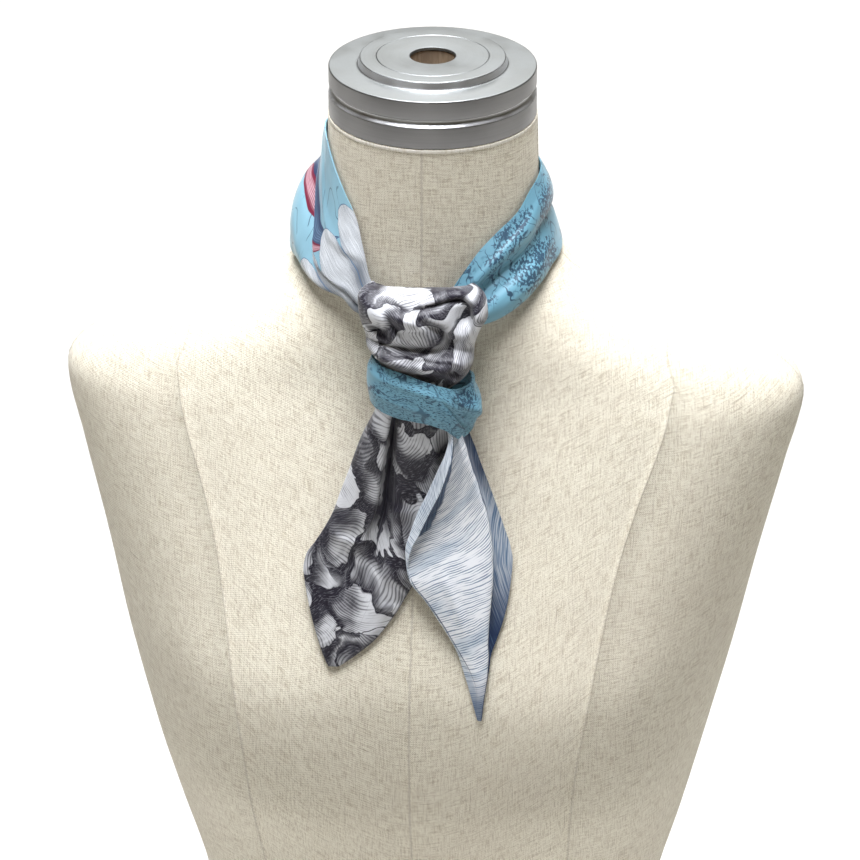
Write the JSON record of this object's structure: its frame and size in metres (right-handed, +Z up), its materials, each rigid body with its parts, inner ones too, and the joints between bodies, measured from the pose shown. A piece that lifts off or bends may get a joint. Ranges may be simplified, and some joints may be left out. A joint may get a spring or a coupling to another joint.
{
  "type": "skinny silk scarf on a dress form",
  "caption": "Printed skinny silk scarf tied in a four-in-hand round the neck of a limbless linen dress form with a turned metal neck cap, its pointed tails hanging on the chest.",
  "frame": {"origin": "middle of the form's flat foot, on the floor", "axes": "+Z up the neck; the form faces -Y, so its wearer's right is at -X"},
  "size_m": [0.37, 0.2282, 0.704],
  "materials": {
    "linen": "plain woven linen, unbleached",
    "wood": "plain brown wood",
    "cap_metal": "turned and brushed, silver",
    "silk_teal": "silk twill, soft sheen, printed",
    "silk_grey": "silk twill, soft sheen, printed",
    "silk_pale_blue": "silk twill, soft sheen, printed"
  },
  "bodies": {
    "root": {"form_torso": "linen", "base_board": "wood", "neck_block": "wood", "neck_cap": "cap_metal", "neck_wrap_right": "silk_teal", "neck_wrap_back": "silk_teal", "neck_wrap_left": "silk_teal", "knot_drape": "silk_grey", "knot_ring": "silk_teal", "tail_front": "silk_grey", "tail_back": "silk_pale_blue"}
  },
  "joints": []
}
